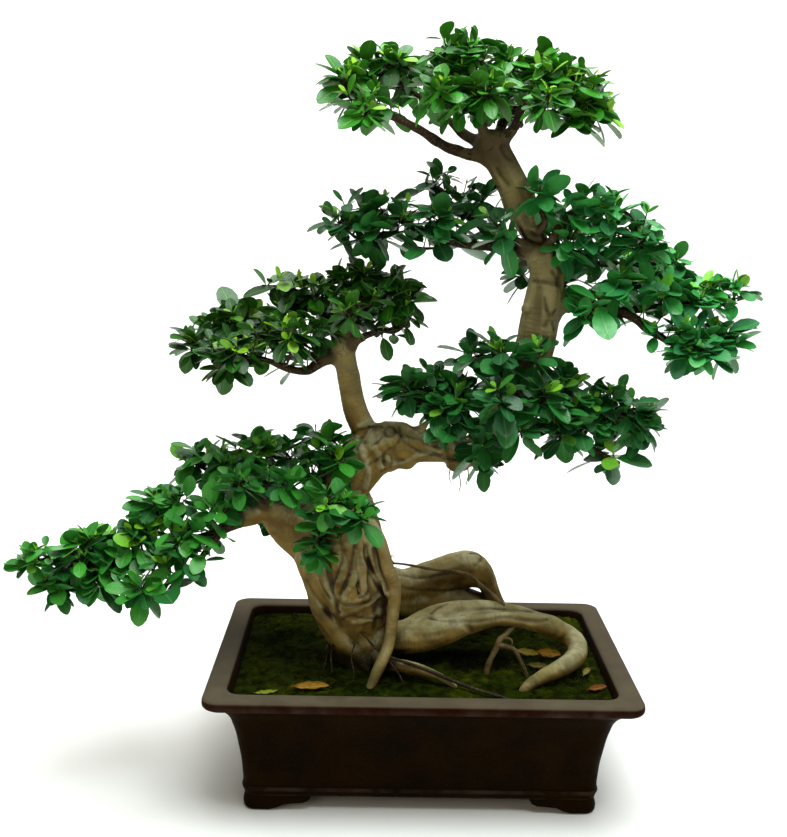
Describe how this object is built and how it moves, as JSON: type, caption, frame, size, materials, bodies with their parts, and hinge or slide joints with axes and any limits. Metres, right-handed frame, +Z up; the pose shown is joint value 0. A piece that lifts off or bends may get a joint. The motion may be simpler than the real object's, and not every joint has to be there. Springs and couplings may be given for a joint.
{
  "type": "bonsai tree",
  "caption": "Fig bonsai with a winding trunk, thick exposed roots and layered leafy pads, in a rectangular footed clay tray with soil.",
  "frame": {"origin": "middle of the whole part's footprint, on the ground under the tray's feet", "axes": "+Z up, the longest extent; +X to the right of the front, along the tray; +Y to the back, the shortest extent"},
  "size_m": [1.049, 0.388, 1.0685],
  "materials": {
    "clay": "unglazed dark brown clay, softly worn",
    "soil": "damp gritty soil under moss",
    "screen": "matte mesh",
    "bark": "pale tan bark",
    "leaf_bright": "glossy fresh leaf",
    "leaf_deep": "glossy mature leaf",
    "dry_leaf": "dry leaf"
  },
  "bodies": {
    "root": {"pot": "clay", "drain_screen_left": "screen", "drain_screen_right": "screen", "soil": "soil", "wood": "bark", "crown_left": "leaf_bright", "crown_left_back": "leaf_bright", "crown_centre": "leaf_bright", "crown_right_back": "leaf_bright", "crown_right": "leaf_bright", "left_pad_low": "leaf_bright", "left_pad_mid": "leaf_bright", "left_pad_top": "leaf_bright", "left_pad_up": "leaf_bright", "left_pad_right": "leaf_bright", "left_pad_back": "leaf_bright", "low_tip": "leaf_deep", "low_front": "leaf_deep", "low_top_left": "leaf_deep", "low_mid": "leaf_deep", "low_top_right": "leaf_deep", "low_front_trunk": "leaf_deep", "low_back": "leaf_deep", "second_left": "leaf_deep", "second_left_top": "leaf_deep", "second_left_front": "leaf_deep", "second_left_hang": "leaf_deep", "second_right_top": "leaf_deep", "second_right_stub": "leaf_deep", "second_right_mid": "leaf_deep", "second_right_main": "leaf_deep", "second_right_upper": "leaf_deep", "second_right_back": "leaf_deep", "mid_left": "leaf_deep", "mid_left_top": "leaf_deep", "mid_front": "leaf_deep", "mid_trunk": "leaf_deep", "mid_low": "leaf_deep", "mid_right": "leaf_deep", "mid_back": "leaf_deep", "fallen_yellow_leaf": "dry_leaf", "fallen_curled_leaf": "dry_leaf", "fallen_brown_leaf_left": "dry_leaf", "fallen_brown_leaf_right": "dry_leaf", "fallen_brown_leaf_front": "dry_leaf", "fallen_pale_leaf": "dry_leaf", "fallen_red_leaf": "dry_leaf"}
  },
  "joints": []
}
